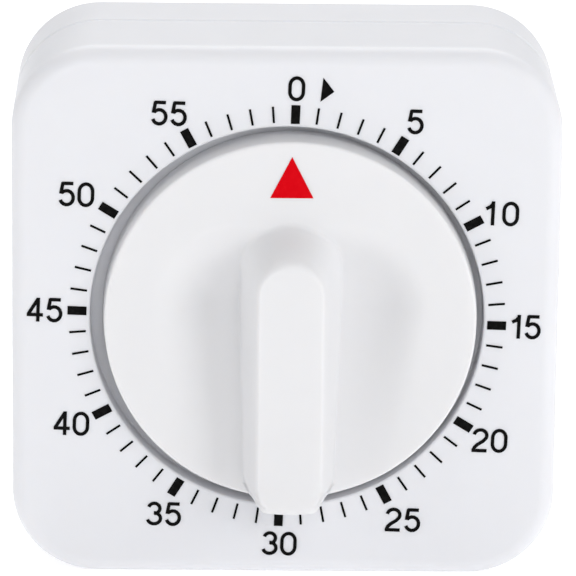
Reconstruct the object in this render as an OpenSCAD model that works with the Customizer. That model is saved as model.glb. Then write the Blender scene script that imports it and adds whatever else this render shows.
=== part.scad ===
// Sixty-minute clockwork timer: a square moulded case, a grip knob that winds it,
// a gear train with an escapement, and a hammer that strikes a bell.
// The timer stands on its bottom side. The dial faces -Y, +Z is up, millimetres.
// "Depth" below is the distance behind the front face of the case.

/* [Case] */
// Width and height of the square case
case_w = 69; // [69:0.5:74]
// Depth of the case from its front face to its back
case_depth = 27; // [27:0.5:30]
// Radius of the four upright corners, seen from the front
case_corner_r = 10.8; // [10:0.1:11.5]
// Radius of the rounded front and back edges
case_edge_r = 2; // [1.5:0.1:2.4]
// Wall thickness of both mouldings
wall = 2; // [1.8:0.1:2.2]
// Depth at which the front case meets the rear cover
parting_depth = 14.5; // [14:0.1:16]
// Width of the groove that runs round the case just behind the parting line
groove_w = 1.2; // [0.8:0.1:1.6]
// Depth of that groove
groove_d = 0.25; // [0.2:0.05:0.5]

/* [Dial opening] */
// Radius of the round opening in the face
opening_r = 24.85; // [24.7:0.05:25]
// How far the middle of the dial lies to the right of the middle of the case
dial_right = 0.2; // [0:0.1:0.4]
// How far the middle of the dial lies below the middle of the case
dial_down = 0.3; // [0:0.1:0.5]
// Depth of the floor of the dial well
well_depth = 3.2; // [3.2:0.1:3.4]
// Thickness of the floor of the dial well
floor_t = 2; // [1.8:0.1:2]

/* [Knob] */
// Radius of the flat front of the knob disk
knob_front_r = 23.4; // [23:0.1:23.5]
// Radius of the foot of the knob disk
knob_foot_r = 23.7; // [23.6:0.1:23.9]
// How far the knob and its movement lie to the right of the middle of the dial
knob_right = 0.4; // [0:0.1:0.5]
// How far the disk stands proud of the face
disk_proud = 2; // [1.6:0.1:2.4]
// How far the grip bar stands proud of the face
grip_proud = 7.3; // [6.8:0.1:8]
// Width of the grip bar along its front
grip_front_w = 8.2; // [8:0.1:9]
// Width of the grip bar where it meets the disk
grip_foot_w = 11.7; // [11:0.1:12.5]
// Height of the grip bar's rounded end above the knob's centre, along its front
grip_end = 9.1; // [8:0.1:10]
// Radius of the ball that shapes each finger hollow
hollow_ball_r = 16; // [15:0.5:16.5]
// Depth of the finger hollows at their deepest
hollow_depth = 3; // [2:0.1:3]

/* [Scale] */
// Radius of the middle of the minute marks
scale_r = 26.46; // [26.4:0.01:26.6]
// How far the printed scale is turned clockwise on the case, in degrees
scale_turn = 1.7; // [0:0.1:3]
// Length of a minute mark
minute_mark_len = 2.1; // [1.9:0.05:2.4]
// Width of a minute mark
minute_mark_w = 0.28; // [0.2:0.01:0.4]
// Length of a five-minute mark
five_mark_len = 2.4; // [2.1:0.05:2.6]
// Width of a five-minute mark
five_mark_w = 1.12; // [0.8:0.01:1.3]
// Radius of the ring on which the numerals are centred
numeral_ring_r = 30.2; // [29.9:0.1:30.3]
// Height of the numerals
numeral_h = 3.2; // [2.8:0.1:3.3]
// Thickness of the numerals' strokes
stroke_t = 0.44; // [0.3:0.01:0.5]
// Thickness of a printed mark
ink_t = 0.05; // [0.03:0.01:0.08]

/* [Movement] */
// Radius of the dial shaft in front of the main wheel
shaft_r = 2.5; // [2.3:0.1:2.6]
// Radius of the dial shaft's rear journal
journal_r = 2; // [1.8:0.1:2]
// Running clearance of every journal in its bearing
running_gap = 0.05; // [0.03:0.01:0.08]
// Teeth of the escape wheel
escape_teeth = 15; // [13:1:17]
// Outer radius of the bell
bell_r = 23; // [22.8:0.1:23.2]

/* [Hidden] */
$fn = 96;

// The knob's axis, and from it the middles of the case and of the dial
axis_at = [dial_right + knob_right, case_w / 2 - dial_down];
case_mid = [-dial_right - knob_right, dial_down];
dial_mid = [-knob_right, 0];
face_y = grip_proud - (case_depth + grip_proud) / 2;
nudge = 0.01;

// Case interior
inner_r = case_corner_r - wall;
face_t = 2.5;
boss_at = case_w / 2 - 6;
boss_r = 3.6;
bore_gap = 0.02;
thread_r = 1.1;
screw_seat = case_depth - 4;
stand_off_r = 3;
movement_screw_ring = 18;

// Stop ribs, one in the well and one inside the knob, and the travel that they allow
rib_w = 0.8;
rib_r = 19.6;
rib_len = 3.6;
travel = 354;
rib_angle = (360 - travel) / 2;

// Knob
knob_foot = well_depth - 0.3;
knob_rim_r = 0.3;
knob_bore_end = 3.4;
knob_web = 0.3;
knob_hollow_r = [15.2, 22.3];
grip_low = -knob_front_r - 0.6;
grip_wall = 1.5;
hollow_at = [6.3, 2.3];
hollow_step = 4;
hub_r = 4.2;
hub_end = 5;
flat_at = 2;

// Gear train: modules of the four pairs, teeth of the main, second, third and fourth wheels,
// and leaves of the second, third, fourth and escape pinions
pair_module = [0.5, 0.4, 0.3, 0.3];
wheel_teeth = [60, 50, 50, 48];
pinion_leaves = [10, 10, 10, 9];

// Movement, as depths
bush_depth = 5.4;
bush_r = 4;
front_plate = 6.2;
rear_plate = 17.2;
plate_t = 1;
plate_half = 27;
plate_chamfer = 50;
pillar_at = 22.5;
pillar_r = 2;
main_wheel_depth = 12.2;
wheel_t = [1, 0.8, 0.8, 0.8];
wheel_depth = [main_wheel_depth, 13.8, 15.3, 8.6];
pinion_depth = [11.7, 13.3, 14.8, 8.1];
pinion_len = [1.8, 1.8, 1.8, 1.8];
arbor_r = 0.6;
pivot_r = 0.4;
arbor_hole_r = 0.645;
escape_depth = 13.9;
escape_t = 0.8;
cam_depth = 18.7;

// Places of the arbors on the plates, each from the one that drives it
shaft_at = [0, 0];
mesh_angle = [30, 110, 180, 190];
second_at = next_arbor(shaft_at, 0);
third_at = next_arbor(second_at, 1);
fourth_at = next_arbor(third_at, 2);
escape_at = next_arbor(fourth_at, 3);
verge_angle = 200;
verge_reach = 7.2;
verge_at = escape_at + polar(verge_reach, verge_angle);
pallet_ring_r = 6;
pallet_spread = 40;
pallet_r = 0.3;

// Hammer
hammer_at = [-13, -9];
hammer_head_r = 1.8;
bell_t = 0.8;
bell_rim = 18.9;
bell_top = 23.6;
bell_round = 2.6;
strike_gap = 0.4;
hammer_head_at = polar(bell_r - bell_t - strike_gap - hammer_head_r, 246.6);
tail_at = [-7.9, 0.6];
cam_r = [5, 6.6];

function polar(r, a) = r * [cos(a), sin(a)];

function arc(c, r, from, to, steps) =
    [for (i = [0:steps]) let (a = from + (to - from) * i / steps)
        [c[0] + r[0] * cos(a), c[1] + r[1] * sin(a)]];

function reversed(points) = [for (i = [len(points) - 1:-1:0]) points[i]];

function unit(v) = v / norm(v);

function left_of(v) = [-v[1], v[0]];

// Centre distance of a gear pair, and the place of the arbor that it drives
function pair_reach(i) = pair_module[i] * (wheel_teeth[i] + pinion_leaves[i]) / 2;
function next_arbor(from, i) = from + polar(pair_reach(i), mesh_angle[i]);

// The direction across a stroke at its point i, scaled so that mitred corners keep the width
function across(p, i) =
    let (
        before = i > 0 ? unit(p[i] - p[i - 1]) : unit(p[1] - p[0]),
        after = i < len(p) - 1 ? unit(p[i + 1] - p[i]) : before,
        side = unit(left_of(before) + left_of(after))
    ) side / max(0.5, side * left_of(before));

// Outline of a stroke of the given thickness along a line of points
function stroke_outline(p, t) = concat(
    [for (i = [0:len(p) - 1]) p[i] + across(p, i) * t / 2],
    reversed([for (i = [0:len(p) - 1]) p[i] - across(p, i) * t / 2])
);

// Gear outline: flanks through the root, the pitch circle and the tip.
// shape = [addendum, dedendum, thickness at root, pitch circle and tip], in modules.
wheel_shape = [0.95, 1.3, 1.75, 1.4, 0.4];
pinion_shape = [0.9, 1.35, 0.95, 1.15, 0.4];
function gear_outline(teeth, m, shape, turn) =
    let (
        r = [teeth / 2 - shape[1], teeth / 2, teeth / 2 + shape[0]] * m,
        t = [shape[2], shape[3], shape[4]] * m,
        corner = [[0, -1], [1, -1], [2, -1], [2, 1], [1, 1], [0, 1]]
    )
    [for (i = [0:teeth - 1], c = corner)
        polar(r[c[0]], turn + 360 * i / teeth + c[1] * t[c[0]] / r[c[0]] * 90 / PI)];

// Places a flat shape on the case at a depth, thickened to the rear
module at_depth(depth, t, at = [0, 0]) {
    translate([axis_at[0] + at[0], face_y + depth + t, axis_at[1] + at[1]])
        rotate([90, 0, 0]) linear_extrude(t) children();
}

// Places a solid made along its own +Z so that +Z runs to the rear from a depth
module rearward(depth, at = [0, 0]) {
    translate([axis_at[0] + at[0], face_y + depth, axis_at[1] + at[1]])
        rotate([-90, 0, 0]) children();
}

module rod(r, from, to, at = [0, 0]) {
    rearward(from, at) cylinder(r = r, h = to - from);
}

module at_corners(reach, mid = [0, 0]) {
    for (x = [-1, 1], z = [-1, 1])
        translate([mid[0] + x * reach, 0, mid[1] + z * reach]) children();
}

module rounded_square(w, r) {
    square([w - 2 * r, w], center = true);
    square([w, w - 2 * r], center = true);
    for (x = [-1, 1], y = [-1, 1]) translate([x, y] * (w / 2 - r)) circle(r);
}

// A block with round corners, made towards +Z, with the edge of one end rounded:
// its start, or its far end where far_end is true. Four turned corner posts span it.
module rounded_block(w, r, edge, h, far_end = false) {
    profile = concat([[0, 0]], arc([r - edge, edge], [edge, edge], -90, 0, 5), [[r, h], [0, h]]);
    hull() for (x = [-1, 1], y = [-1, 1]) translate([x * (w / 2 - r), y * (w / 2 - r), 0])
        rotate_extrude($fn = 48)
            polygon([for (p = profile) far_end ? [p[0], h - p[1]] : p]);
}

module front_case() {
    well_wall = 1.5;
    color("white") difference() {
        union() {
            difference() {
                rearward(0, case_mid)
                    rounded_block(case_w, case_corner_r, case_edge_r, parting_depth);
                at_depth(face_t, case_depth, case_mid) rounded_square(case_w - 2 * wall, inner_r);
            }
            rod(opening_r + well_wall, nudge, well_depth + floor_t, dial_mid);
            at_corners(boss_at, case_mid) rod(boss_r, face_t - nudge, parting_depth);
            for (p = movement_screw_places()) rod(stand_off_r, well_depth, front_plate, p);
        }
        rod(opening_r, -1, well_depth, dial_mid);
        rod(hub_r + 1, 0, case_depth);
        at_corners(boss_at, case_mid) rod(thread_r + bore_gap, 9, case_depth);
        for (p = movement_screw_places()) rod(1.3, 0, case_depth, p);
    }
    // Stop rib on the floor of the well
    color("white") at_depth(1.2, well_depth - 1.2 + nudge)
        rotate(rib_angle - 90) translate([rib_r, 0]) square([rib_len, rib_w], center = true);
}

function movement_screw_places() = [for (a = [60, 180, 300]) polar(movement_screw_ring, a)];

module rear_cover() {
    lip_out = case_w / 2 - wall - 0.1;
    lip_len = 2 * boss_at - 18;
    groove_end = parting_depth + groove_w;
    color("white") difference() {
        union() {
            difference() {
                union() {
                    rearward(groove_end, case_mid)
                        rounded_block(case_w, case_corner_r, case_edge_r, case_depth - groove_end, true);
                    at_depth(parting_depth, groove_w + 1, case_mid)
                        rounded_square(case_w - 2 * groove_d, case_corner_r - groove_d);
                }
                at_depth(parting_depth - 1, case_depth - wall - parting_depth + 1, case_mid)
                    rounded_square(case_w - 2 * wall, inner_r);
            }
            at_corners(boss_at, case_mid) rod(boss_r, parting_depth, case_depth - wall + nudge);
            rod(3, bell_top, case_depth - wall + nudge);
            // Lip that locates the cover inside the front case
            for (a = [0:90:270]) at_depth(parting_depth - 1.5, 3, case_mid) rotate(a)
                translate([lip_out - 0.5 - nudge, 0]) square([1, lip_len], center = true);
            for (a = [0:90:270]) at_depth(parting_depth + 0.5, 1, case_mid) rotate(a)
                translate([lip_out - 0.3, 0]) square([1.4, lip_len], center = true);
        }
        at_corners(boss_at, case_mid) rod(thread_r + 0.2, 0, case_depth + 1);
        at_corners(boss_at, case_mid) rod(2.5, screw_seat, case_depth + 1);
        rod(1.42, bell_top - 1, case_depth - 0.8);
    }
}

module cross_screw(head_r, head_t, shank_r, length, seat, back) {
    // Head on the front side of its seat, or behind it where back is true; the cross is cut in its top
    way = back ? 1 : -1;
    top = seat + way * head_t;
    difference() {
        union() {
            rod(head_r, min(seat, top), max(seat, top));
            rod(shank_r, min(seat, seat - way * length), max(seat, seat - way * length));
        }
        for (a = [0, 90]) at_depth(back ? top - 0.6 : top - 0.4, 1)
            rotate(a + 20) square([head_r * 1.2, 0.5], center = true);
    }
}

module cover_screws() {
    color("silver") at_corners(boss_at, case_mid)
        cross_screw(2.3, 1.6, thread_r, 13, screw_seat, true);
}

module movement_screws() {
    color("silver") for (p = movement_screw_places()) translate([p[0], 0, p[1]])
        cross_screw(2.1, 1.1, 1.25, 4.2, well_depth, false);
}

module pillar_screws() {
    color("silver") at_corners(pillar_at)
        cross_screw(1.8, 0.9, 0.8, 3, rear_plate + plate_t, true);
}

// Printed marks
module minute_marks() {
    color("black") for (i = [0:59]) if (i % 5 != 0) mark(i, minute_mark_w, minute_mark_len);
}

module five_minute_marks() {
    color("black") for (i = [0:5:59]) mark(i, five_mark_w, five_mark_len);
}

// Places a printed shape on the face, seen from the middle of the scale
module printed(at = [0, 0]) {
    at_depth(-ink_t, ink_t, dial_mid) rotate(-scale_turn) translate(at) children();
}

module mark(minute, w, len) {
    printed() rotate(-6 * minute) translate([0, scale_r]) square([w, len], center = true);
}

// A numeral is strokes in a box one unit wide and two units high, centred on its own middle
arc_steps = 14;
function half_oval(side) = concat(
    arc([0, 0.3], [0.5, 0.7], 90 - side * 2, 90 + side * 90, arc_steps),
    arc([0, -0.3], [0.5, 0.7], 90 + side * 90, 90 + side * 182, arc_steps)
);
function glyph_strokes(d) =
    d == 0 ? [half_oval(1), half_oval(-1)] :
    d == 1 ? [[[-0.42, 0.42], [-0.1, 0.62], [0.12, 0.95]], [[0.1, 1.13], [0.1, -1.13]]] :
    d == 2 ? [arc([0, 0.46], [0.48, 0.54], 172, -38, arc_steps),
              [[0.42, 0.2], [0.22, -0.08], [-0.2, -0.42], [-0.42, -0.7], [-0.52, -1.04]],
              [[-0.62, -1], [0.52, -1]]] :
    d == 3 ? [arc([0, 0.5], [0.43, 0.5], 165, -90, arc_steps),
              arc([0, -0.46], [0.5, 0.54], 93, -165, arc_steps)] :
    d == 4 ? [[[0.22, -1.13], [0.22, 1.13]], [[0.2, 1.02], [-0.5, -0.42]], [[-0.62, -0.48], [0.6, -0.48]]] :
    [[[0.48, 1], [-0.36, 1]], [[-0.3, 1.08], [-0.44, 0.02]],
     arc([0, -0.34], [0.5, 0.66], 140, -160, arc_steps)];

module digit(d) {
    reach = [numeral_h * 0.66, numeral_h / 2] - [stroke_t, stroke_t / 2];
    for (s = glyph_strokes(d))
        polygon(stroke_outline([for (p = s) [p[0] * reach[0], p[1] * reach[1]]], stroke_t));
}

// The digits of 15 stand closer together than those of the other numerals
module numeral(n) {
    pitch = numeral_h * (n == 15 ? 0.6 : 0.75);
    if (n < 10) digit(n);
    else {
        translate([-pitch / 2, 0]) digit(floor(n / 10));
        translate([pitch / 2, 0]) digit(n % 10);
    }
}

// Each numeral is set by eye a little off the ring
numeral_nudge = [
    [0, -0.43], [-0.13, -0.08], [0.12, -0.47], [-0.15, -0.06], [0.22, -0.15], [0.74, -0.12],
    [0.2, 0.19], [0.44, -0.42], [-0.57, 0.17], [-0.33, -0.06], [-0.84, 0.04], [-0.68, -0.15]
];

module numerals() {
    color("black") for (i = [0:11])
        printed(polar(numeral_ring_r, 90 - 30 * i) + numeral_nudge[i]) numeral(5 * i);
}

module direction_arrow() {
    color("black") printed([3.61, 29.71]) polygon([[-0.6, -1.5], [-0.35, 1.6], [1.08, -0.15]]);
}

module knob_disk() {
    rearward(0) rotate_extrude() polygon(concat(
        [[0, knob_foot], [0, -disk_proud]],
        arc([knob_front_r - knob_rim_r, knob_rim_r - disk_proud],
            [knob_rim_r, knob_rim_r], -90, -4, 6),
        [[knob_foot_r, knob_foot]]
    ));
}

// Slice of the grip bar: round at its top end and oval at its lower end
module grip_slice(depth, half_w, top_z, low_reach, low_z) {
    at_depth(depth, 0.02) {
        translate([0, top_z - half_w]) circle(half_w, $fn = 32);
        translate([0, low_z + low_reach]) scale([1, low_reach / half_w]) circle(half_w, $fn = 32);
    }
}

// The bar's front edge is rounded in two steps below its flat front
module grip_bar() {
    front = grip_front_w / 2;
    end_slope = 3.2;
    foot_reach = 4.6;
    front_reach = 2.4;
    hull() {
        grip_slice(0, grip_foot_w / 2, grip_end + end_slope, foot_reach, grip_low);
        grip_slice(0.6 - grip_proud, front + 0.05, grip_end + 0.3, front_reach, grip_low);
        grip_slice(0.2 - grip_proud, front - 0.1, grip_end, front_reach - 0.1, grip_low + 0.2);
        grip_slice(-grip_proud, front - 0.5, grip_end - 0.4, front_reach - 0.4, grip_low + 0.8);
    }
}

// Hollow for a finger: balls pressed in beside the bar, less deeply towards its lower end
module finger_hollow(side) {
    for (i = [0:4]) {
        depth = hollow_depth * (1 - 0.18 * i);
        translate([axis_at[0] + side * (hollow_at[0] + 0.1 * i),
                   face_y + depth - disk_proud - hollow_ball_r,
                   axis_at[1] + hollow_at[1] - hollow_step * i])
            sphere(hollow_ball_r);
    }
}

module knob() {
    color("white") difference() {
        union() {
            difference() {
                knob_disk();
                for (side = [-1, 1]) finger_hollow(side);
            }
            grip_bar();
            rod(hub_r, knob_foot - nudge, hub_end);
        }
        // Hollow underside, with the stop rib left standing in it
        difference() {
            rearward(knob_web) difference() {
                cylinder(r = knob_hollow_r[1], h = knob_foot);
                translate([0, 0, -1]) cylinder(r = knob_hollow_r[0], h = knob_foot + 2);
            }
            at_depth(0, knob_foot - 1) rotate(-90) translate([rib_r, 0])
                square([rib_len, rib_w], center = true);
        }
        // Cores that keep the walls of the grip even
        at_depth(grip_wall - grip_proud, knob_foot + grip_proud) {
            translate([0, 7.2]) square([5, 2.6], center = true);
            translate([0, -12.5]) square([5, 14], center = true);
        }
        // Bore with a flat
        intersection() {
            rod(shaft_r + bore_gap, -knob_bore_end - bore_gap, hub_end + 1);
            at_depth(-knob_bore_end - 1, hub_end + 5)
                translate([-4, -4]) square([8, 4 + flat_at + bore_gap]);
        }
    }
}

module pointer_mark() {
    color("red") at_depth(-disk_proud - ink_t, ink_t)
        polygon([[-2.7, 16.2], [2.7, 16.2], [0, 21.5]]);
}

module dial_shaft() {
    color("silver") {
        intersection() {
            rod(shaft_r, -knob_bore_end, hub_end);
            at_depth(-knob_bore_end - 1, hub_end + 5) translate([-4, -4]) square([8, 4 + flat_at]);
        }
        rod(shaft_r, hub_end, main_wheel_depth - 0.5);
        rod(shaft_r + 0.9, main_wheel_depth - 0.5, main_wheel_depth);
        difference() {
            rod(journal_r, main_wheel_depth, cam_depth + 1.4);
            // Groove for the clip
            difference() {
                rod(journal_r + 1, clip_depth(), clip_depth() + 0.4);
                rod(journal_r - 0.4, clip_depth() - 1, clip_depth() + 1);
            }
        }
    }
}

module shaft_bush() {
    color("gold") difference() {
        union() {
            rod(bush_r, bush_depth, front_plate + plate_t);
            rod(bush_r + 0.8, bush_depth, front_plate);
        }
        rod(shaft_r + running_gap, 0, case_depth);
    }
}

function clip_depth() = main_wheel_depth + wheel_t[0] + 0.35;

module plate_outline() {
    intersection() {
        square(2 * plate_half, center = true);
        rotate(45) square(plate_chamfer * sqrt(2), center = true);
    }
}

module arbor_holes(depth) {
    for (p = [second_at, third_at, fourth_at, escape_at, verge_at])
        rod(pivot_r + running_gap, depth - 1, depth + plate_t + 1, p);
}

module movement_front_plate() {
    color("lightgray") difference() {
        at_depth(front_plate, plate_t) plate_outline();
        arbor_holes(front_plate);
        rod(bush_r, 0, case_depth);
        at_corners(pillar_at) rod(1, 0, case_depth);
        for (p = movement_screw_places()) rod(1.25 + bore_gap, 0, case_depth, p);
    }
}

module movement_rear_plate() {
    color("lightgray") difference() {
        at_depth(rear_plate, plate_t) plate_outline();
        arbor_holes(rear_plate);
        rod(journal_r + running_gap, 0, case_depth);
        rod(1, 0, case_depth, hammer_at);
        at_corners(pillar_at) rod(0.85, 0, case_depth);
    }
}

// Each pillar has a rivet end in the front plate and a threaded hole at the rear
module plate_pillars() {
    color("silver") at_corners(pillar_at) difference() {
        union() {
            rod(pillar_r, front_plate + plate_t, rear_plate);
            rod(1 - nudge, front_plate, front_plate + plate_t + nudge);
        }
        rod(0.8 + nudge, rear_plate - 3, case_depth);
    }
}

// Mainspring: a flat spiral that ends in an eye on one pillar
spring_depth = 7.7;
spring_h = 3.8;
spring_t = 0.25;
spring_inner_r = 3.2;
spring_outer_r = 11.6;
spring_turns = 9;
spring_points_per_turn = 20;
spring_post = [-pillar_at, -pillar_at];

function spiral_point(i) =
    let (n = spring_turns * spring_points_per_turn)
    polar(spring_inner_r + (spring_outer_r - spring_inner_r) * i / n,
          -360 * i / spring_points_per_turn - 90);

module mainspring() {
    n = spring_turns * spring_points_per_turn;
    eye_r = pillar_r + 0.1;
    color("slategray") difference() {
        union() {
            at_depth(spring_depth, spring_h) polygon(stroke_outline(concat(
                [for (i = [0:n]) spiral_point(i)],
                [[-6, -12.6], spring_post + [eye_r * 0.6, -eye_r * 0.9]]
            ), spring_t));
            rod(eye_r + spring_t, spring_depth, spring_depth + spring_h, spring_post);
        }
        rod(eye_r, 0, case_depth, spring_post);
    }
}

// Window between two spokes of a wheel
module spoke_window(hub, rim, spokes, spoke_w, i) {
    mid = 360 * (i + 0.5) / spokes;
    half = 180 / spokes;
    trim_out = asin(spoke_w / 2 / rim);
    trim_in = asin(spoke_w / 2 / hub);
    polygon(concat(
        arc([0, 0], [rim, rim], mid - half + trim_out, mid + half - trim_out, 8),
        arc([0, 0], [hub, hub], mid + half - trim_in, mid - half + trim_in, 4)
    ));
}

module wheel(i, turn, hub, hole_r, spokes) {
    difference() {
        polygon(gear_outline(wheel_teeth[i], pair_module[i], wheel_shape, turn));
        circle(hole_r, $fn = 12);
        rim = pair_module[i] * (wheel_teeth[i] / 2 - 3.2);
        for (k = [0:spokes - 1]) spoke_window(hub, rim, spokes, hub * 0.45, k);
    }
}

module pinion(i) {
    difference() {
        polygon(gear_outline(pinion_leaves[i], pair_module[i], pinion_shape,
                             mesh_angle[i] + 180 + 180 / pinion_leaves[i]));
        circle(arbor_hole_r, $fn = 12);
    }
}

module arbor(at) {
    rod(arbor_r, front_plate + plate_t + 0.05, rear_plate - 0.05, at);
    rod(pivot_r, front_plate + 0.1, rear_plate + plate_t - 0.1, at);
}

module main_wheel() {
    color("gold") at_depth(wheel_depth[0], wheel_t[0])
        wheel(0, mesh_angle[0], 5, (journal_r + bore_gap) / cos(15), 5);
}

// Bowed washer that lets the shaft slip in the main wheel while it is wound
module friction_washer() {
    color("goldenrod") difference() {
        rod(4.6, main_wheel_depth + wheel_t[0], clip_depth());
        rod(journal_r + bore_gap, 0, case_depth);
    }
}

module retaining_clip() {
    color("dimgray") difference() {
        rod(3.4, clip_depth(), clip_depth() + 0.38);
        rod(journal_r - 0.38, 0, case_depth);
        at_depth(clip_depth() - 1, 3, [0, -3]) square([2.6, 6], center = true);
    }
}

module second_arbor() { color("silver") arbor(second_at); }
module third_arbor() { color("silver") arbor(third_at); }
module fourth_arbor() { color("silver") arbor(fourth_at); }
module escape_arbor() { color("silver") arbor(escape_at); }
module verge_arbor() { color("silver") arbor(verge_at); }

module second_pinion() {
    color("silver") at_depth(pinion_depth[0], pinion_len[0], second_at) pinion(0);
}

module third_pinion() {
    color("silver") at_depth(pinion_depth[1], pinion_len[1], third_at) pinion(1);
}

module fourth_pinion() {
    color("silver") at_depth(pinion_depth[2], pinion_len[2], fourth_at) pinion(2);
}

module escape_pinion() {
    color("silver") at_depth(pinion_depth[3], pinion_len[3], escape_at) pinion(3);
}

module second_wheel() {
    color("gold") at_depth(wheel_depth[1], wheel_t[1], second_at)
        wheel(1, mesh_angle[1], 2.2, arbor_hole_r, 4);
}

module third_wheel() {
    color("gold") at_depth(wheel_depth[2], wheel_t[2], third_at)
        wheel(2, mesh_angle[2], 1.8, arbor_hole_r, 4);
}

module fourth_wheel() {
    color("gold") at_depth(wheel_depth[3], wheel_t[3], fourth_at)
        wheel(3, mesh_angle[3], 1.8, arbor_hole_r, 4);
}

module escape_wheel() {
    tip_r = 5;
    root_r = 3.7;
    step = 360 / escape_teeth;
    color("gold") at_depth(escape_depth, escape_t, escape_at) difference() {
        polygon([for (i = [0:escape_teeth - 1], c = [[root_r, 0], [tip_r, 0.1], [tip_r, 0.18], [root_r, 0.7]])
            polar(c[0], step * (i + c[1]))]);
        circle(arbor_hole_r, $fn = 12);
        for (k = [0:3]) spoke_window(1.4, 2.9, 4, 0.6, k);
    }
}

// Rocking lever of the escapement: two pins beside the escape wheel, and a bar that sets the beat
verge_depth = escape_depth + escape_t + 0.3;
verge_t = 0.8;
balance_depth = 10.2;

function pallet_at(side) =
    escape_at + polar(pallet_ring_r, verge_angle + side * pallet_spread);

module verge() {
    back = verge_depth + verge_t;
    color("goldenrod") difference() {
        union() {
            at_depth(verge_depth, verge_t)
                polygon(stroke_outline([pallet_end(-1), verge_at, pallet_end(1)], 1.6));
            rod(1.6, verge_depth, back, verge_at);
        }
        rod(arbor_r + bore_gap, 0, case_depth, verge_at);
        for (side = [-1, 1]) rod(pallet_r + bore_gap, 0, case_depth, pallet_at(side));
    }
}

// The arms run a little past the pins
function pallet_end(side) = verge_at + 1.18 * (pallet_at(side) - verge_at);

module pallet_pins() {
    color("silver") for (side = [-1, 1])
        rod(pallet_r, escape_depth - 0.2, verge_depth + verge_t, pallet_at(side));
}

module balance_bar() {
    color("gold") at_depth(balance_depth, 1.4, verge_at) difference() {
        union() {
            rotate(verge_angle + 90) square([11, 1.6], center = true);
            for (side = [-1, 1]) translate(polar(4.7, verge_angle + 90 + 90 * (side + 1)))
                circle(1.5, $fn = 12);
            circle(1.5, $fn = 12);
        }
        circle(arbor_hole_r, $fn = 12);
    }
}

// Snail cam: its radius grows over one turn and drops at zero, which lets the hammer fall
module alarm_cam() {
    steps = 60;
    color("gold") at_depth(cam_depth, 1.2) difference() {
        polygon([for (i = [0:steps])
            polar(cam_r[0] + (cam_r[1] - cam_r[0]) * i / steps, 176 + 360 * i / steps)]);
        circle((journal_r + bore_gap) / cos(15), $fn = 12);
    }
}

post_r = 1;
coil_depth = cam_depth + 1.55;
coil_wire = 0.4;
coil_turns = 3;

module hammer_post() {
    color("silver") {
        rod(post_r - nudge, rear_plate, rear_plate + plate_t + nudge, hammer_at);
        rod(post_r, rear_plate + plate_t, coil_depth + coil_turns * coil_wire + 0.1, hammer_at);
        rod(post_r + 0.9, coil_depth + coil_turns * coil_wire + 0.1,
            coil_depth + coil_turns * coil_wire + 0.6, hammer_at);
    }
}

module hammer_arm() {
    color("lightgray") difference() {
        union() {
            at_depth(cam_depth, 1) {
                polygon(stroke_outline([hammer_at, tail_at], 1.8));
                polygon(stroke_outline([hammer_at, hammer_head_at], 1.8));
            }
            rod(1.2, cam_depth, cam_depth + 1, hammer_head_at);
            rod(2, cam_depth - 0.3, coil_depth - 0.05, hammer_at);
        }
        rod(post_r + running_gap, 0, case_depth, hammer_at);
        rod(0.6, 0, case_depth, hammer_head_at);
    }
}

module hammer_head() {
    color("gold") {
        rod(0.6 - nudge, cam_depth, cam_depth + 1 + nudge, hammer_head_at);
        rod(hammer_head_r, cam_depth + 1, cam_depth + 2.4, hammer_head_at);
    }
}

// Torsion spring of the hammer: close coils on the post, and two legs
module hammer_spring() {
    mean_r = 1.5;
    color("silver") {
        difference() {
            rod(mean_r + coil_wire / 2, coil_depth, coil_depth + coil_turns * coil_wire, hammer_at);
            rod(mean_r - coil_wire / 2, 0, case_depth, hammer_at);
        }
        for (leg = [[mean_r, 200, coil_depth + (coil_turns - 1) * coil_wire], [mean_r, 20, coil_depth]])
            at_depth(leg[2], coil_wire, hammer_at)
                rotate(leg[1]) translate([leg[0] - coil_wire / 2, 0])
                    square([coil_wire, 5]);
    }
}

module bell() {
    side_end = bell_top - bell_round;
    outer = arc([6, side_end], [bell_r - 6, bell_top - side_end], 0, 90, 12);
    inner = arc([6, side_end], [bell_r - bell_t - 6, bell_top - bell_t - side_end], 90, 0, 12);
    color("silver") difference() {
        rearward(0) rotate_extrude() polygon(concat(
            [[bell_r, bell_rim]], outer, [[0, bell_top], [0, bell_top - bell_t]],
            inner, [[bell_r - bell_t, bell_rim]]
        ));
        rod(1.5, 0, case_depth);
    }
}

module bell_screw() {
    color("silver") cross_screw(2.4, 1.1, 1.4, 3, bell_top - bell_t, false);
}

front_case();
rear_cover();
cover_screws();
minute_marks();
five_minute_marks();
numerals();
direction_arrow();
knob();
pointer_mark();
dial_shaft();
shaft_bush();
movement_front_plate();
movement_rear_plate();
plate_pillars();
pillar_screws();
movement_screws();
mainspring();
main_wheel();
friction_washer();
retaining_clip();
second_arbor();
second_pinion();
second_wheel();
third_arbor();
third_pinion();
third_wheel();
fourth_arbor();
fourth_pinion();
fourth_wheel();
escape_arbor();
escape_pinion();
escape_wheel();
verge_arbor();
verge();
pallet_pins();
balance_bar();
alarm_cam();
hammer_post();
hammer_arm();
hammer_head();
hammer_spring();
bell();
bell_screw();
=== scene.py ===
"""Sixty-minute lab timer: the looks of its case, knob, scale and movement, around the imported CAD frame."""

import math

import bmesh
import bpy
import numpy as np
from mathutils import Matrix, Vector


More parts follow.
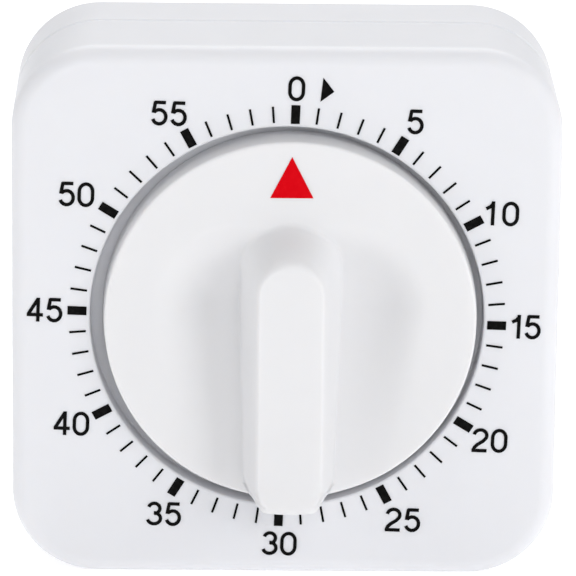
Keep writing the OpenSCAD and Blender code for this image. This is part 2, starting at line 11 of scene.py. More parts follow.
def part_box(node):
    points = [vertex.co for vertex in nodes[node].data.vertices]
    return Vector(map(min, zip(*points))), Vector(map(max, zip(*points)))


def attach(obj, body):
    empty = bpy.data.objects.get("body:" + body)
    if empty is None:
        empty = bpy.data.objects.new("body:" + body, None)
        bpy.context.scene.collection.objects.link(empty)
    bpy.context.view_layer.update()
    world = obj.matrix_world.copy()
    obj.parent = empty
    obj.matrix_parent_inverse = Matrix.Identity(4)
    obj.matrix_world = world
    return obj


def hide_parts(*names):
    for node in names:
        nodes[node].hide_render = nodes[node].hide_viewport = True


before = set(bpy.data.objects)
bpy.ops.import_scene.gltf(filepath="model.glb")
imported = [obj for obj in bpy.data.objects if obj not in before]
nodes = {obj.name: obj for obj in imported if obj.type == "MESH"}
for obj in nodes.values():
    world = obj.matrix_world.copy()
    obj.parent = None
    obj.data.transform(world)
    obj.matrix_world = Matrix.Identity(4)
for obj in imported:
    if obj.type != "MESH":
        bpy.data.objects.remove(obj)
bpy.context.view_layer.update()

MM = 0.001

# ---------------------------------------------------------------- places, from the frame
case_low, case_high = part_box("front_case")
cover_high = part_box("rear_cover")[1]
knob_low, knob_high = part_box("knob")
scale_low, scale_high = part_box("five_minute_marks")
pointer_low, pointer_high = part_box("pointer_mark")


def middle(low, high):
    """Middle of a box as seen from the front: x right and z up, in millimetres."""
    return ((low.x + high.x) / 2 / MM, (low.z + high.z) / 2 / MM)


CASE = middle(case_low, case_high)
DIAL = middle(scale_low, scale_high)
POINTER = middle(pointer_low, pointer_high)
FACE_Y = case_low.y
HALF = (case_high.x - case_low.x) / 2 / MM
CASE_DEPTH = (cover_high.y - FACE_Y) / MM
PARTING = (case_high.y - FACE_Y) / MM
GRIP_PROUD = (FACE_Y - knob_low.y) / MM
FOOT_R = (knob_high.x - knob_low.x) / 2 / MM
KNOB = ((knob_low.x + knob_high.x) / 2 / MM, knob_high.z / MM - FOOT_R)
REST_ANGLE = math.atan2(POINTER[0] - KNOB[0], POINTER[1] - KNOB[1])

# ---------------------------------------------------------------- sizes, in millimetres
CORNER_R = 10.8         # upright corners of the case
EDGE_R = 2.0            # rounded front and back edges of the case
EDGE_LEAD = 0.2         # run beside each rounding that keeps its shading true
WALL = 2.0              # side walls and back
FACE_WALL = 2.5         # thickness of the face
PARTING_LEAD = 0.7      # start of the eased edge at the parting line
PARTING_EASE = 0.1      # how far that edge is eased
GROOVE_W = 1.2          # groove round the case just behind the parting line
GROOVE_D = 0.25
GROOVE_EASE = 0.15      # eased back edge of the groove
GROOVE_LEAD = 0.5       # flat run behind that edge
OPENING_R = 24.85       # round opening in the face
LIP_R = 0.3             # rounded edge of that opening
LIP_LEAD = 0.15
WELL_DEPTH = 3.2        # well behind the opening, which the knob turns in
WELL_FLOOR = 2.0
WELL_WALL = 1.5
WELL_FILLET = 0.4       # rounding between the well's wall and floor
FLOOR_HOLE_R = 5.2      # hole for the shaft
RIB_R = 19.6            # stop rib on the floor of the well
RIB_HALF = 0.4
RIB_REACH = 1.8         # half its length outwards from the knob's axis
RIB_TOP = 1.2           # depth of its front
RIB_TURN = 3            # degrees past the lowest point of the well
STAND_OFF_END = 6.2     # depth of the posts that carry the movement
STAND_OFF_ROOT = 0.4    # where they start, behind the front of the well's floor
STAND_OFF_R = 3
STAND_OFF_HOLE_R = 1.3
STAND_OFF_RING = 18     # radius on which they stand
STAND_OFF_ANGLES = (60, 180, 300)
OVERLAP = 0.1           # how far a joined post or rib reaches into its wall

BOSS_R = 3.6            # screw bosses and posts in the four corners
BOSS_AT = HALF - 6      # their place, right and up from the middle of the case
BOSS_HOLE_R = 1.12
BOSS_HOLE_TOP = 9
POST_GAP = 0.02         # gap between a boss and its post
POST_HOLE_R = 1.3
SCREW_HEAD_R = 2.5      # counterbore for the screw's head
SCREW_HEAD_DEPTH = 4
# Rounded mouth of the counterbore: (radius, depth from the back)
SCREW_MOUTH = [(SCREW_HEAD_R, -0.25), (2.62, -0.08), (2.85, 0.05), (2.85, 1)]
POST_ROOT = 1           # how far the posts reach into the back
BELL_TOP = (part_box("bell")[1].y - FACE_Y) / MM
BELL_POST_R = 3
BELL_HOLE_R = 1.42
BELL_HOLE_END = 0.8     # from the back
CUT_RUN = 1             # how far a cutter reaches past the face it opens

DISK_PROUD = 2.0        # front of the knob's disk above the face of the case
DISK_R = 23.4           # flat front of that disk
RIM_ROUND = 0.35
KNOB_FOOT = WELL_DEPTH - 0.3
NOSE_OUT = 0.6          # how far the bar's lower end stands out past the disk
NOSE_ROUND = 1.1        # rounding of the front edge of that end
GRIP_HALF = 4.2         # half width of the grip bar along its front
GRIP_FOOT_HALF = 5.6    # half width where it meets the disk
GRIP_ROUND = 0.5        # rounding of the bar's front edges
GRIP_TOP = 9.1          # top end of the bar along its front, above the knob's axis
GRIP_FOOT_TOP = 12.5    # the same where it meets the disk
GRIP_LOW = -24.0        # lower end of the bar along its front
GRIP_LOW_REACH = 3.2    # length of its oval lower end
GRIP_FOOT_LOW = -24.9   # the same two where it meets the disk
GRIP_FOOT_LOW_REACH = 5.0
GRIP_FILLET = 0.8       # blend between the bar's foot and the disk
HOLLOW_BALL_R = 16.0    # ball that shapes the finger hollows
HOLLOW_DEPTH = 3.0
HOLLOW_X = 6.3
HOLLOW_TOP = 2.3
HOLLOW_RUN = 22.0       # length over which the hollow dies out downwards
HOLLOW_EDGE = 1.3       # softness of the hollow's edge

RIM_WALL_R = 22.3       # inside of the knob's rim
HUB_WALL_R = 15.2       # outside of the thick middle of the underside
RECESS_TOP = 0.3        # depth of the ring-shaped recess between them
HUB_R = 4.2
HUB_END = 5.0
BORE_R = 2.55           # hole for the shaft
BORE_TOP = -3.45

FOOT_EASE = 0.15        # eased lower edge of the knob's rim
BLEND_WIDTH = 2.4       # width of the smooth blend that makes a rounding, in radii

ROUND_STEPS = 10        # steps of each rounded case edge
LIP_STEPS = 6
TURNED_SIDES = 40
SPINE_LOW, SPINE_TOP = -19.0, 6.0       # ends of the line that the knob's mesh rays start from


def at(x, z, depth, mid=CASE):
    """A point of the timer: x right and z up from a middle, depth behind the face, in millimetres."""
    return Vector(((mid[0] + x) * MM, FACE_Y + depth * MM, (mid[1] + z) * MM))


# ---------------------------------------------------------------- mesh helpers
def new_object(name, verts, faces):
    """A clean, outward-facing, smooth-shaded mesh object."""
    mesh = bpy.data.meshes.new(name)
    mesh.from_pydata([tuple(v) for v in verts], [], faces)
    obj = bpy.data.objects.new(name, mesh)
    bpy.context.scene.collection.objects.link(obj)
    bm = bmesh.new()
    bm.from_mesh(mesh)
    bmesh.ops.remove_doubles(bm, verts=bm.verts, dist=1e-7)
    bmesh.ops.dissolve_degenerate(bm, edges=bm.edges, dist=1e-7)
    bmesh.ops.recalc_face_normals(bm, faces=bm.faces)
    bm.to_mesh(mesh)
    bm.free()
    for polygon in mesh.polygons:
        polygon.use_smooth = True
    return obj


def stitch(loops, closed):
    """Vertices and quads between rings of equal length, each ring joined round to its start."""
    n = len(loops[0])
    verts = [v for loop in loops for v in loop]
    faces = []
    pairs = len(loops) if closed else len(loops) - 1
    for i in range(pairs):
        a, b = i * n, (i + 1) % len(loops) * n
        for k in range(n):
            m = (k + 1) % n
            faces.append((a + k, a + m, b + m, b + k))
    return verts, faces


def shell(name, loops):
    """A closed wall of loops, whose last loop joins the first."""
    return new_object(name, *stitch(loops, True))


def capped(name, loops):
    """A tube of loops closed by a flat face at each end."""
    n = len(loops[0])
    verts, faces = stitch(loops, False)
    last = len(verts) - n
    faces += [tuple(range(n)), tuple(range(last, last + n))]
    return new_object(name, verts, faces)


def outline_points():
    """Round-cornered square: points and outward normals, as (x, z, nx, nz), in millimetres."""
    corner_steps, side_steps = 24, 30
    straight = HALF - CORNER_R
    points = []
    for quarter in range(4):
        turn = quarter * math.pi / 2
        for i in range(side_steps):
            z = -straight + 2 * straight * i / side_steps
            points.append((HALF, z, 1, 0, turn))
        for i in range(corner_steps):
            a = math.pi / 2 * i / corner_steps
            points.append((straight + CORNER_R * math.cos(a), straight + CORNER_R * math.sin(a),
                           math.cos(a), math.sin(a), turn))
    turned_points = []
    for x, z, nx, nz, turn in points:
        c, s = math.cos(turn), math.sin(turn)
        turned_points.append((x * c - z * s, x * s + z * c, nx * c - nz * s, nx * s + nz * c))
    return turned_points


OUTLINE = outline_points()


def square_loop(inset, depth):
    """The case's outline, moved in by inset, at a depth."""
    return [at(x - nx * inset, z - nz * inset, depth) for x, z, nx, nz in OUTLINE]


def round_loop(r, depth, mid=DIAL):
    """Circle about a middle, with one vertex for each vertex of the outline."""
    loop = []
    for x, z, _, _ in OUTLINE:
        dx, dz = x + CASE[0] - mid[0], z + CASE[1] - mid[1]
        d = math.hypot(dx, dz)
        loop.append(at(dx * r / d, dz * r / d, depth, mid))
    return loop


def arc_steps(start, end, steps):
    """Angles in radians, evenly spaced between two given in degrees."""
    return [math.radians(start + (end - start) * i / steps) for i in range(steps + 1)]


def turned(name, profile, place, mid=CASE):
    """A body of revolution about a line along Y, flat at both ends: profile is (radius, depth)."""
    turns = [2 * math.pi * k / TURNED_SIDES for k in range(TURNED_SIDES)]
    loops = [[at(place[0] + r * math.cos(a), place[1] + r * math.sin(a), depth, mid) for a in turns]
             for r, depth in profile]
    return capped(name, loops)


def apply_boolean(obj, cutter, operation):
    """Adds or cuts away the cutter, which is then deleted."""
    mod = obj.modifiers.new("cut", "BOOLEAN")
    mod.operation = operation
    mod.solver = "EXACT"
    mod.object = cutter
    bpy.context.view_layer.objects.active = obj
    bpy.ops.object.modifier_apply(modifier=mod.name)
    bpy.data.objects.remove(cutter)


def keep_flats_flat(obj, angle=40):
    """Smooth shading that keeps large flat faces flat and sharp edges sharp."""
    for edge in obj.data.edges:
        edge.use_edge_sharp = False
    bm = bmesh.new()
    bm.from_mesh(obj.data)
    for edge in bm.edges:
        if len(edge.link_faces) == 2 and edge.calc_face_angle(0) > math.radians(angle):
            edge.smooth = False
    bm.to_mesh(obj.data)
    bm.free()
    mod = obj.modifiers.new("weighted_normals", "WEIGHTED_NORMAL")
    mod.keep_sharp = True
    mod.weight = 80


# ---------------------------------------------------------------- case
def corner_places():
    """The four corner screws, as (x, z) from the middle of the case."""
    return [(x * BOSS_AT, z * BOSS_AT) for x in (-1, 1) for z in (-1, 1)]


def boss(place):
    return turned("boss", [(BOSS_HOLE_R, BOSS_HOLE_TOP), (BOSS_HOLE_R, PARTING), (BOSS_R, PARTING),
                           (BOSS_R, FACE_WALL - OVERLAP)], place)


def stand_off(angle):
    """One post that carries the movement, on the back of the well's floor."""
    a = math.radians(angle)
    place = (STAND_OFF_RING * math.cos(a), STAND_OFF_RING * math.sin(a))
    root = WELL_DEPTH + STAND_OFF_ROOT
    return turned("stand_off", [(STAND_OFF_HOLE_R, root + OVERLAP), (STAND_OFF_HOLE_R, STAND_OFF_END),
                                (STAND_OFF_R, STAND_OFF_END), (STAND_OFF_R, root)], place, KNOB)


def build_front_case():
    """Front of the case: face, opening, well, side walls, screw bosses and movement posts."""
    well_floor = WELL_DEPTH + WELL_FLOOR
    loops = [
        round_loop(FLOOR_HOLE_R, well_floor, KNOB),
        round_loop(FLOOR_HOLE_R, WELL_DEPTH, KNOB),
        round_loop(OPENING_R - WELL_FILLET, WELL_DEPTH),
        round_loop(OPENING_R - WELL_FILLET * 0.3, WELL_DEPTH - WELL_FILLET * 0.3),
        round_loop(OPENING_R, WELL_DEPTH - WELL_FILLET),
    ]
    loops += [round_loop(OPENING_R + LIP_R * (1 - math.cos(a)), LIP_R * (1 - math.sin(a)))
              for a in arc_steps(0, 90, LIP_STEPS)]
    loops.append(round_loop(OPENING_R + LIP_R + LIP_LEAD, 0))
    loops.append(square_loop(EDGE_R + EDGE_LEAD, 0))
    loops += [square_loop(EDGE_R * (1 - math.sin(a)), EDGE_R * (1 - math.cos(a)))
              for a in arc_steps(0, 90, ROUND_STEPS)]
    loops += [
        square_loop(0, EDGE_R + EDGE_LEAD),
        square_loop(0, PARTING - PARTING_LEAD),
        square_loop(PARTING_EASE * 0.4, PARTING - PARTING_EASE),
        square_loop(PARTING_EASE, PARTING),
        square_loop(WALL, PARTING),
        square_loop(WALL, FACE_WALL),
        round_loop(OPENING_R + WELL_WALL, FACE_WALL),
        round_loop(OPENING_R + WELL_WALL, well_floor),
    ]
    case = shell("case_front_shell", loops)
    extras = [boss(place) for place in corner_places()]
    extras += [stand_off(angle) for angle in STAND_OFF_ANGLES]
    extras.append(build_stop_rib())
    join(case, extras)
    keep_flats_flat(case)
    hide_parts("front_case")
    return case


def build_stop_rib():
    """Rib that ends the knob's travel, a little past the lowest point of the well."""
    c, s = math.cos(math.radians(RIB_TURN)), math.sin(math.radians(RIB_TURN))
    near, far = RIB_R - RIB_REACH, RIB_R + RIB_REACH
    corners = [(-RIB_HALF, near), (RIB_HALF, near), (RIB_HALF, far), (-RIB_HALF, far)]
    loops = [[at(u * c + r * s, u * s - r * c, depth, KNOB) for u, r in corners]
             for depth in (RIB_TOP, WELL_DEPTH + OVERLAP)]
    return capped("stop_rib", loops)


def join(target, others):
    """Makes the other objects part of the target's mesh."""
    with bpy.context.temp_override(active_object=target, selected_editable_objects=[target] + others):
        bpy.ops.object.join()


def screw_hole():
    """Profile of a cover screw's hole: the shank, then the counterbore with its rounded mouth."""
    seat = CASE_DEPTH - SCREW_HEAD_DEPTH
    shank = [(POST_HOLE_R, PARTING - CUT_RUN), (POST_HOLE_R, seat), (SCREW_HEAD_R, seat)]
    return shank + [(r, CASE_DEPTH + back) for r, back in SCREW_MOUTH]


def build_rear_cover():
    """Rear cover: groove at the parting line, rounded back, bell post and the four screw posts."""
    groove_end = PARTING + GROOVE_W
    loops = [
        square_loop(WALL, CASE_DEPTH - WALL),
        square_loop(WALL, PARTING),
        square_loop(GROOVE_D + PARTING_EASE, PARTING),
        square_loop(GROOVE_D, PARTING + PARTING_EASE),
        square_loop(GROOVE_D, groove_end - GROOVE_EASE),
        square_loop(GROOVE_D * 0.8, groove_end),
        square_loop(GROOVE_D * 0.15, groove_end + GROOVE_EASE),
        square_loop(0, groove_end + GROOVE_LEAD),
        square_loop(0, CASE_DEPTH - EDGE_R - EDGE_LEAD),
    ]
    loops += [square_loop(EDGE_R * (1 - math.cos(a)), CASE_DEPTH - EDGE_R * (1 - math.sin(a)))
              for a in arc_steps(0, 90, ROUND_STEPS)]
    loops.append(square_loop(EDGE_R + EDGE_LEAD, CASE_DEPTH))
    cover = capped("case_rear_shell", loops)
    root = CASE_DEPTH - POST_ROOT
    bell_post = turned("bell_post", [(BELL_POST_R, BELL_TOP), (BELL_POST_R, root)], (0, 0), KNOB)
    apply_boolean(cover, bell_post, "UNION")
    hole_ends = (BELL_TOP - CUT_RUN, CASE_DEPTH - BELL_HOLE_END)
    bell_hole = turned("bell_hole", [(BELL_HOLE_R, end) for end in hole_ends], (0, 0), KNOB)
    apply_boolean(cover, bell_hole, "DIFFERENCE")
    for place in corner_places():
        post = turned("post", [(BOSS_R, PARTING + POST_GAP), (BOSS_R, root)], place)
        apply_boolean(cover, post, "UNION")
        apply_boolean(cover, turned("hole", screw_hole(), place), "DIFFERENCE")
    keep_flats_flat(cover)
    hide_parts("rear_cover")
    return cover


# ---------------------------------------------------------------- knob
def smooth_min(a, b, k):
    """The lower of two heights, blended over a width k."""
    h = np.clip(k - np.abs(a - b), 0, None) / k
    return np.minimum(a, b) - h * h * k / 4


def smooth_max(a, b, k):
    return -smooth_min(-a, -b, k)


def hollow_height(x, z, side):
    """Front of the disk where a finger hollow is pressed into it: a ball that rises as it rolls down."""
    run = np.clip((HOLLOW_TOP - z) / HOLLOW_RUN, 0, 1)
    depth = HOLLOW_DEPTH * (1 - run)
    across = x - side * HOLLOW_X
    above = np.clip(z - HOLLOW_TOP, 0, None)
    reach = np.clip(HOLLOW_BALL_R ** 2 - across ** 2 - above ** 2, 0, None)
    return DISK_PROUD - depth + HOLLOW_BALL_R - np.sqrt(reach)


def inside(x, z, half, top, low, low_reach):
    """How far a point lies inside an outline with straight sides, a round top and an oval lower end."""
    from_top = half - np.hypot(x, np.clip(z - (top - half), 0, None))
    drop = np.clip(low + low_reach - z, 0, None)
    oval = np.hypot(x / half, drop / low_reach)
    steep = np.maximum(np.hypot(x / half ** 2, drop / low_reach ** 2), 1e-9)
    from_low = np.where(oval < 1e-6, half, (1 - oval) * oval / steep)
    return np.where(z > low + low_reach, from_top, from_low)


def grip_share(x, z):
    """0 at the foot of the grip bar's wall and 1 at its front edge; more inside, less outside."""
    foot = inside(x, z, GRIP_FOOT_HALF, GRIP_FOOT_TOP, GRIP_FOOT_LOW, GRIP_FOOT_LOW_REACH)
    front = inside(x, z, GRIP_HALF, GRIP_TOP, GRIP_LOW, GRIP_LOW_REACH)
    return foot / np.maximum(foot - front, 0.05)


def grip_height(share):
    """Height of the bar for a share of its wall: a straight drafted wall with a rounded front edge."""
    rise = GRIP_PROUD - DISK_PROUD
    front = np.full_like(share, GRIP_PROUD)
    return smooth_min(DISK_PROUD + rise * share, front, GRIP_ROUND * BLEND_WIDTH)


def knob_height(x, z):
    """Height of the knob's front above the face of the case."""
    disk = np.full_like(x, DISK_PROUD)
    for side in (-1, 1):
        disk = smooth_min(disk, hollow_height(x, z, side), HOLLOW_EDGE)
    return smooth_max(disk, grip_height(grip_share(x, z)), GRIP_FILLET)


def knob_plan(edge_r):
    """Rays out of the bar's spine over the whole disk: an array of (x, z), ray by ray, closed round."""
    # Few rows over the bar's flat front, many over its wall and fillet
    flat_rows, wall_rows = np.linspace(0, 2.4, 6), np.linspace(2.6, 6.9, 58)
    near = np.concatenate([flat_rows, wall_rows])
    side_rays, turn_rays, outer_rows = 60, 28, 26
    spine = SPINE_TOP - SPINE_LOW
    rays = [(SPINE_LOW, a) for a in arc_steps(-90, 0, turn_rays)]
    rays += [(SPINE_LOW + spine * i / side_rays, 0.0) for i in range(1, side_rays)]
    rays += [(SPINE_TOP, a) for a in arc_steps(0, 90, turn_rays)]
    right = []
    for start_z, a in rays:
        way = np.array([math.cos(a), math.sin(a)])
        lift = start_z * way[1]
        reach = -lift + math.sqrt(lift ** 2 + edge_r ** 2 - start_z ** 2)
        inner = near * min(1, 0.9 * reach / near[-1])
        outer = inner[-1] + (reach - inner[-1]) * np.arange(1, outer_rows + 1) / outer_rows
        steps = np.concatenate([inner, outer])[:, None]
        right.append(np.array([0, start_z]) + steps * way)
    right = np.array(right)
    left = right[1:-1][::-1] * np.array([-1, 1])
    return np.concatenate([right, left])


def knob_point(x, z, height):
    """A point of the knob from its own x, z and height, turned to where it stands at rest."""
    c, s = math.cos(REST_ANGLE), math.sin(REST_ANGLE)
    return at(x * c + z * s, -x * s + z * c, -height, KNOB)


def build_knob():
    """The knob in one closed mesh: its front as a height field, the rim, then the underside."""
    edge_r = DISK_R - RIM_ROUND
    plan = knob_plan(edge_r)
    x, z = plan[..., 0], plan[..., 1]
    height = knob_height(x, z)
    columns, rows = x.shape
    loops = [[knob_point(x[c, r], z[c, r], height[c, r]) for c in range(columns)] for r in range(rows)]
    edge_x, edge_z, edge_h = x[:, -1] / edge_r, z[:, -1] / edge_r, height[:, -1]
    on_bar = np.clip((edge_h - DISK_PROUD) / (GRIP_PROUD - DISK_PROUD), 0, 1)
    for out, drop, foot_share in rim_profile():
        level = edge_h - drop * (1 + on_bar * (NOSE_ROUND / RIM_ROUND - 1))
        level = level + (-KNOB_FOOT - level) * foot_share
        spread = 1 + on_bar * NOSE_OUT / RIM_ROUND * (1 - foot_share)
        radius = edge_r + out * spread
        loops.append([knob_point(edge_x[c] * radius[c], edge_z[c] * radius[c], level[c])
                      for c in range(columns)])
    for radius, depth in underside_profile():
        loops.append([knob_point(edge_x[c] * radius, edge_z[c] * radius, -depth)
                      for c in range(columns)])
    verts, faces = stitch(loops, False)
    faces.append(tuple(range(len(verts) - columns, len(verts))))
    knob = new_object("knob_moulding", verts, faces)
    keep_flats_flat(knob, 50)
    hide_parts("knob")
    return knob


def rim_profile():
    """Steps down the rim: (way out from the disk's edge, drop from the front, share of the way down)."""
    steps = [(RIM_ROUND * math.sin(a), RIM_ROUND * (1 - math.cos(a)), 0) for a in arc_steps(15, 85, 6)]
    last_out, last_drop, _ = steps[-1]
    foot_out = FOOT_R - DISK_R + RIM_ROUND
    for share in (0.1, 0.3, 0.5, 0.7, 0.9):
        steps.append((last_out + (foot_out - last_out) * share, last_drop, share))
    steps.append((foot_out - FOOT_EASE * 0.2, last_drop, 0.98))
    steps.append((foot_out - FOOT_EASE, last_drop, 1))
    return steps


def underside_profile():
    """Radius and depth of the hollow underside, from the foot in to the shaft's bore."""
    return [(RIM_WALL_R, KNOB_FOOT), (RIM_WALL_R, RECESS_TOP), (HUB_WALL_R, RECESS_TOP),
            (HUB_WALL_R, KNOB_FOOT), (HUB_R, KNOB_FOOT), (HUB_R, HUB_END), (BORE_R, HUB_END),
            (BORE_R, BORE_TOP)]


# ---------------------------------------------------------------- materials
class Shader:
    """A material's node tree, built by short calls."""

    def __init__(self, name):
        self.material = bpy.data.materials.new(name)
        self.material.use_nodes = True
        self.tree = self.material.node_tree
        self.principled = self.tree.nodes["Principled BSDF"]
        self.coords = self.tree.nodes.new("ShaderNodeTexCoord").outputs["Object"]

    def set(self, **values):
        for key, value in values.items():
            self.principled.inputs[key.replace("_", " ")].default_value = value
        return self

    def link(self, source, target):
        self.tree.links.new(source, target)

    def mapped(self, scale):
        node = self.tree.nodes.new("ShaderNodeMapping")
        node.inputs["Scale"].default_value = scale
        self.link(self.coords, node.inputs["Vector"])
        return node.outputs["Vector"]

    def noise(self, size_mm, detail=2.0, roughness=0.5, stretch=(1, 1, 1), distortion=0.0):
        node = self.tree.nodes.new("ShaderNodeTexNoise")
        node.inputs["Scale"].default_value = 1.0
        node.inputs["Detail"].default_value = detail
        node.inputs["Roughness"].default_value = roughness
        node.inputs["Distortion"].default_value = distortion
        scale = 1 / (size_mm * MM)
        self.link(self.mapped(tuple(scale / s for s in stretch)), node.inputs["Vector"])
        return node.outputs["Fac"]

    def rings(self, centre, pitch_mm):
        """Fine turning rings about a line along Y through centre."""
        node = self.tree.nodes.new("ShaderNodeTexWave")
        node.wave_type = "RINGS"
        node.rings_direction = "Y"
        node.inputs["Scale"].default_value = 0.05 / (pitch_mm * MM)
        node.inputs["Distortion"].default_value = 1.5
        node.inputs["Detail"].default_value = 2.0
        shift = self.tree.nodes.new("ShaderNodeVectorMath")
        shift.operation = "SUBTRACT"
        shift.inputs[1].default_value = centre
        self.link(self.coords, shift.inputs[0])
        self.link(shift.outputs["Vector"], node.inputs["Vector"])
        return node.outputs["Fac"]

    def ranged(self, value, low, high, from_low=0.3, from_high=0.7):
        node = self.tree.nodes.new("ShaderNodeMapRange")
        node.inputs["From Min"].default_value = from_low
        node.inputs["From Max"].default_value = from_high
        node.inputs["To Min"].default_value = low
        node.inputs["To Max"].default_value = high
        self.link(value, node.inputs["Value"])
        return node.outputs["Result"]

    def blend(self, value, colour_a, colour_b, low=0.3, high=0.7):
        node = self.tree.nodes.new("ShaderNodeValToRGB")
        node.color_ramp.elements[0].position = low
        node.color_ramp.elements[1].position = high
        node.color_ramp.elements[0].color = (*colour_a, 1)
        node.color_ramp.elements[1].color = (*colour_b, 1)
        self.link(value, node.inputs["Fac"])
        return node.outputs["Color"]

    def bump(self, heights):
        """Bumps in turn: (value, height in millimetres)."""
        normal = None
        for value, height_mm in heights:
            node = self.tree.nodes.new("ShaderNodeBump")
            node.inputs["Distance"].default_value = height_mm * MM
            node.inputs["Strength"].default_value = 1.0
            self.link(value, node.inputs["Height"])
            if normal:
                self.link(normal, node.inputs["Normal"])
            normal = node.outputs["Normal"]
        self.link(normal, self.principled.inputs["Normal"])

    def finish(self, colour, roughness):
        self.link(colour, self.principled.inputs["Base Color"])
        self.link(roughness, self.principled.inputs["Roughness"])
        return self.material


def moulded_plastic(name, tint, shine):
    """Glossy white moulding: faint flow marks, a fine mould texture and slightly uneven gloss."""
    s = Shader(name)
    flow = s.noise(16, 3, 0.55, distortion=0.6)
    fine = s.noise(0.16, 2)
    wave = s.noise(9, 1)
    darker = tuple(c * 0.985 for c in tint)
    s.bump([(wave, 0.02), (fine, 0.0012)])
    s.set(Subsurface_Weight=0.35, Subsurface_Scale=0.0015, Subsurface_Radius=(1.0, 0.9, 0.8), IOR=1.5)
    return s.finish(s.blend(flow, darker, tint), s.ranged(s.noise(3.5, 3), shine - 0.03, shine + 0.04))


def ink(name, colour, worn):
    """Pad-printed ink: a thin slightly uneven film."""
    s = Shader(name)
    s.set(Specular_IOR_Level=0.02)
    s.bump([(s.noise(0.12, 3), 0.004)])
    return s.finish(s.blend(s.noise(0.5, 4), colour, worn, 0.45, 0.8),
                    s.ranged(s.noise(0.3, 2), 0.45, 0.6))


def rolled_metal(name, colour, dull, rough, grain=(1, 1, 14)):
    """Sheet or bar metal with the fine grain of rolling, faint stains and small scratches."""
    s = Shader(name)
    s.set(Metallic=1.0)
    lines = s.noise(0.12, 2, stretch=grain)
    stains = s.noise(5, 4)
    s.bump([(lines, 0.003)])
    return s.finish(s.blend(stains, dull, colour), s.ranged(lines, rough - 0.07, rough + 0.1))


def turned_metal(name, colour, dull, rough, node_name):
    """Metal with turning rings about its own axis."""
    low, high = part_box(node_name)
    s = Shader(name)
    s.set(Metallic=1.0)
    rings = s.rings((low + high) / 2, 0.08)
    s.bump([(rings, 0.002)])
    return s.finish(s.blend(s.noise(2.5, 4), dull, colour),
                    s.ranged(rings, rough - 0.05, rough + 0.08, 0, 1))


def dress(names, make):
    """Gives each named CAD node its material; make is called with the node's name."""
    for name in names:
        obj = nodes[name]
        obj.data.materials.clear()
        obj.data.materials.append(make(name))


WHITE = (0.75, 0.755, 0.786)
KNOB_WHITE = (0.752, 0.752, 0.768)
BRASS, BRASS_DULL = (0.83, 0.62, 0.27), (0.62, 0.45, 0.20)
STEEL, STEEL_DULL = (0.62, 0.63, 0.65), (0.42, 0.43, 0.45)
BLUED, BLUED_DULL = (0.16, 0.20, 0.32), (0.10, 0.11, 0.16)
NICKEL, NICKEL_DULL = (0.78, 0.77, 0.75), (0.58, 0.57, 0.55)


def dress_everything(case, cover, knob):
    shell_white = moulded_plastic("white_case_plastic", WHITE, 0.5)
    for obj in (case, cover):
        obj.data.materials.append(shell_white)
        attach(obj, "case")
    knob.data.materials.append(moulded_plastic("white_knob_plastic", KNOB_WHITE, 0.46))
    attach(knob, "dial")
    black = ink("black_ink", (0.004, 0.004, 0.004), (0.012, 0.012, 0.012))
    dress(["minute_marks", "five_minute_marks", "numerals", "direction_arrow"], lambda _: black)
    red = ink("red_ink", (0.62, 0.0012, 0.006), (0.66, 0.004, 0.009))
    dress(["pointer_mark"], lambda _: red)
    zinc = rolled_metal("zinc_plated_steel", STEEL, STEEL_DULL, 0.38)
    dress(["movement_front_plate", "movement_rear_plate", "hammer_arm"], lambda _: zinc)
    bright = rolled_metal("bright_steel", NICKEL, STEEL_DULL, 0.28, (6, 6, 1))
    dress(["cover_screws", "movement_screws", "pillar_screws", "plate_pillars", "retaining_clip",
           "pallet_pins", "second_pinion", "third_pinion", "fourth_pinion", "escape_pinion"],
          lambda _: bright)
    blued = rolled_metal("blued_spring_steel", BLUED, BLUED_DULL, 0.3)
    dress(["mainspring", "hammer_spring", "friction_washer"], lambda _: blued)
    dress(["dial_shaft", "second_arbor", "third_arbor", "fourth_arbor", "escape_arbor",
           "verge_arbor", "hammer_post"],
          lambda n: turned_metal(n + "_steel", NICKEL, STEEL_DULL, 0.25, n))
    dress(["shaft_bush", "main_wheel", "second_wheel", "third_wheel", "fourth_wheel",
           "escape_wheel", "alarm_cam", "hammer_head"],
          lambda n: turned_metal(n + "_brass", BRASS, BRASS_DULL, 0.3, n))
    stamped = rolled_metal("stamped_brass", BRASS, BRASS_DULL, 0.33)
    dress(["verge", "balance_bar"], lambda _: stamped)
    dress(["bell", "bell_screw"], lambda n: turned_metal(n + "_nickel", NICKEL, NICKEL_DULL, 0.18, n))


# ---------------------------------------------------------------- stage, lights and camera
VIEW_TILT = 16.53       # degrees that the camera stands above the dial's axis
VIEW_YAW = 0.87         # degrees to the left of it
VIEW_ROLL = -0.66       # degrees that the object leans in the picture
VIEW_DISTANCE = 0.651   # from the dial's centre, in metres
LENS_MM = 322.9
WORLD_LIGHT = 0.41
FLOOR_GLOW = 0.36       # own light of the floor, which keeps it pale under the timer
AIM_UP = 0.333          # degrees that the camera looks above the dial's centre
AIM_RIGHT = 0.011       # degrees that it looks to the right of it


def build_floor():
    bpy.ops.mesh.primitive_plane_add(size=6, location=(0, 0, 0))
    floor = bpy.context.object
    floor.name = "floor"
    s = Shader("pale_floor")
    s.set(Emission_Color=(1, 1, 1, 1), Emission_Strength=FLOOR_GLOW)
    colour = s.blend(s.noise(40, 2), (0.93, 0.93, 0.93), (0.95, 0.95, 0.95))
    floor.data.materials.append(s.finish(colour, s.ranged(s.noise(20, 2), 0.75, 0.85)))


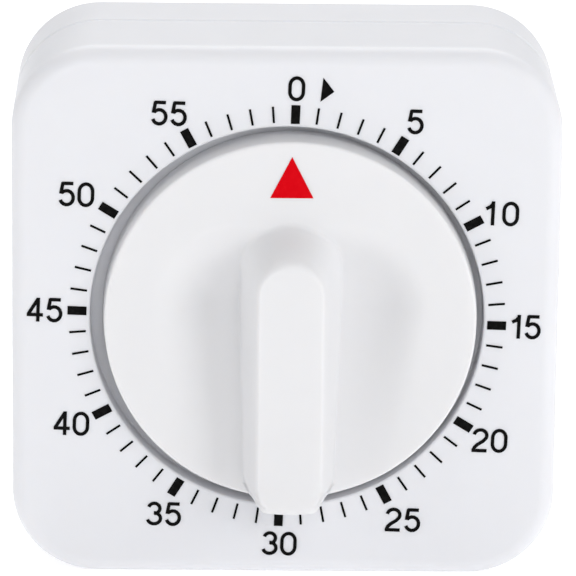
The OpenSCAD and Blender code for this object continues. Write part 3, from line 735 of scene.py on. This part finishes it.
def area_light(name, place, target, size, power):
    light = bpy.data.lights.new(name, "AREA")
    light.size = size
    light.energy = power
    obj = bpy.data.objects.new(name, light)
    bpy.context.scene.collection.objects.link(obj)
    obj.location = place
    obj.rotation_euler = (Vector(target) - Vector(place)).to_track_quat("-Z", "Y").to_euler()


def build_lights():
    world = bpy.data.worlds.new("soft_surround")
    world.use_nodes = True
    world.node_tree.nodes["Background"].inputs["Color"].default_value = (1, 1, 1, 1)
    world.node_tree.nodes["Background"].inputs["Strength"].default_value = WORLD_LIGHT
    bpy.context.scene.world = world
    centre = (0, 0, 0.034)
    area_light("key", (0.88, -0.65, 0.4), centre, 0.5, 3.8)
    area_light("fill", (-1.02, -0.35, 0.36), centre, 0.5, 2.1)
    area_light("above", (0.2, -0.8, 0.68), centre, 0.5, 1.7)
    area_light("back", (0.0, 0.6, 1.0), centre, 0.9, 7.6)


def build_camera():
    camera = bpy.data.cameras.new("camera")
    camera.lens = LENS_MM
    camera.sensor_width = 36
    camera.clip_start = 0.05
    obj = bpy.data.objects.new("camera", camera)
    bpy.context.scene.collection.objects.link(obj)
    # Object axes to camera axes: x right, y up, z towards the camera
    turn = (Matrix.Rotation(math.radians(VIEW_ROLL), 3, "Z")
            @ Matrix.Rotation(math.radians(VIEW_TILT), 3, "X")
            @ Matrix.Rotation(math.radians(VIEW_YAW), 3, "Y"))
    to_world = Matrix(((1, 0, 0), (0, 0, -1), (0, 1, 0)))
    basis = to_world @ turn.transposed()
    centre = at(0, 0, 0, DIAL)
    place = centre + basis @ Vector((0, 0, VIEW_DISTANCE))
    aim = (Matrix.Rotation(math.radians(AIM_UP), 3, "X")
           @ Matrix.Rotation(math.radians(-AIM_RIGHT), 3, "Y"))
    obj.matrix_world = Matrix.Translation(place) @ (basis @ aim).to_4x4()
    bpy.context.scene.camera = obj


def main():
    bpy.context.scene.view_settings.view_transform = "Standard"
    build_camera()
    build_lights()
    build_floor()
    case = build_front_case()
    cover = build_rear_cover()
    knob = build_knob()
    dress_everything(case, cover, knob)


main()
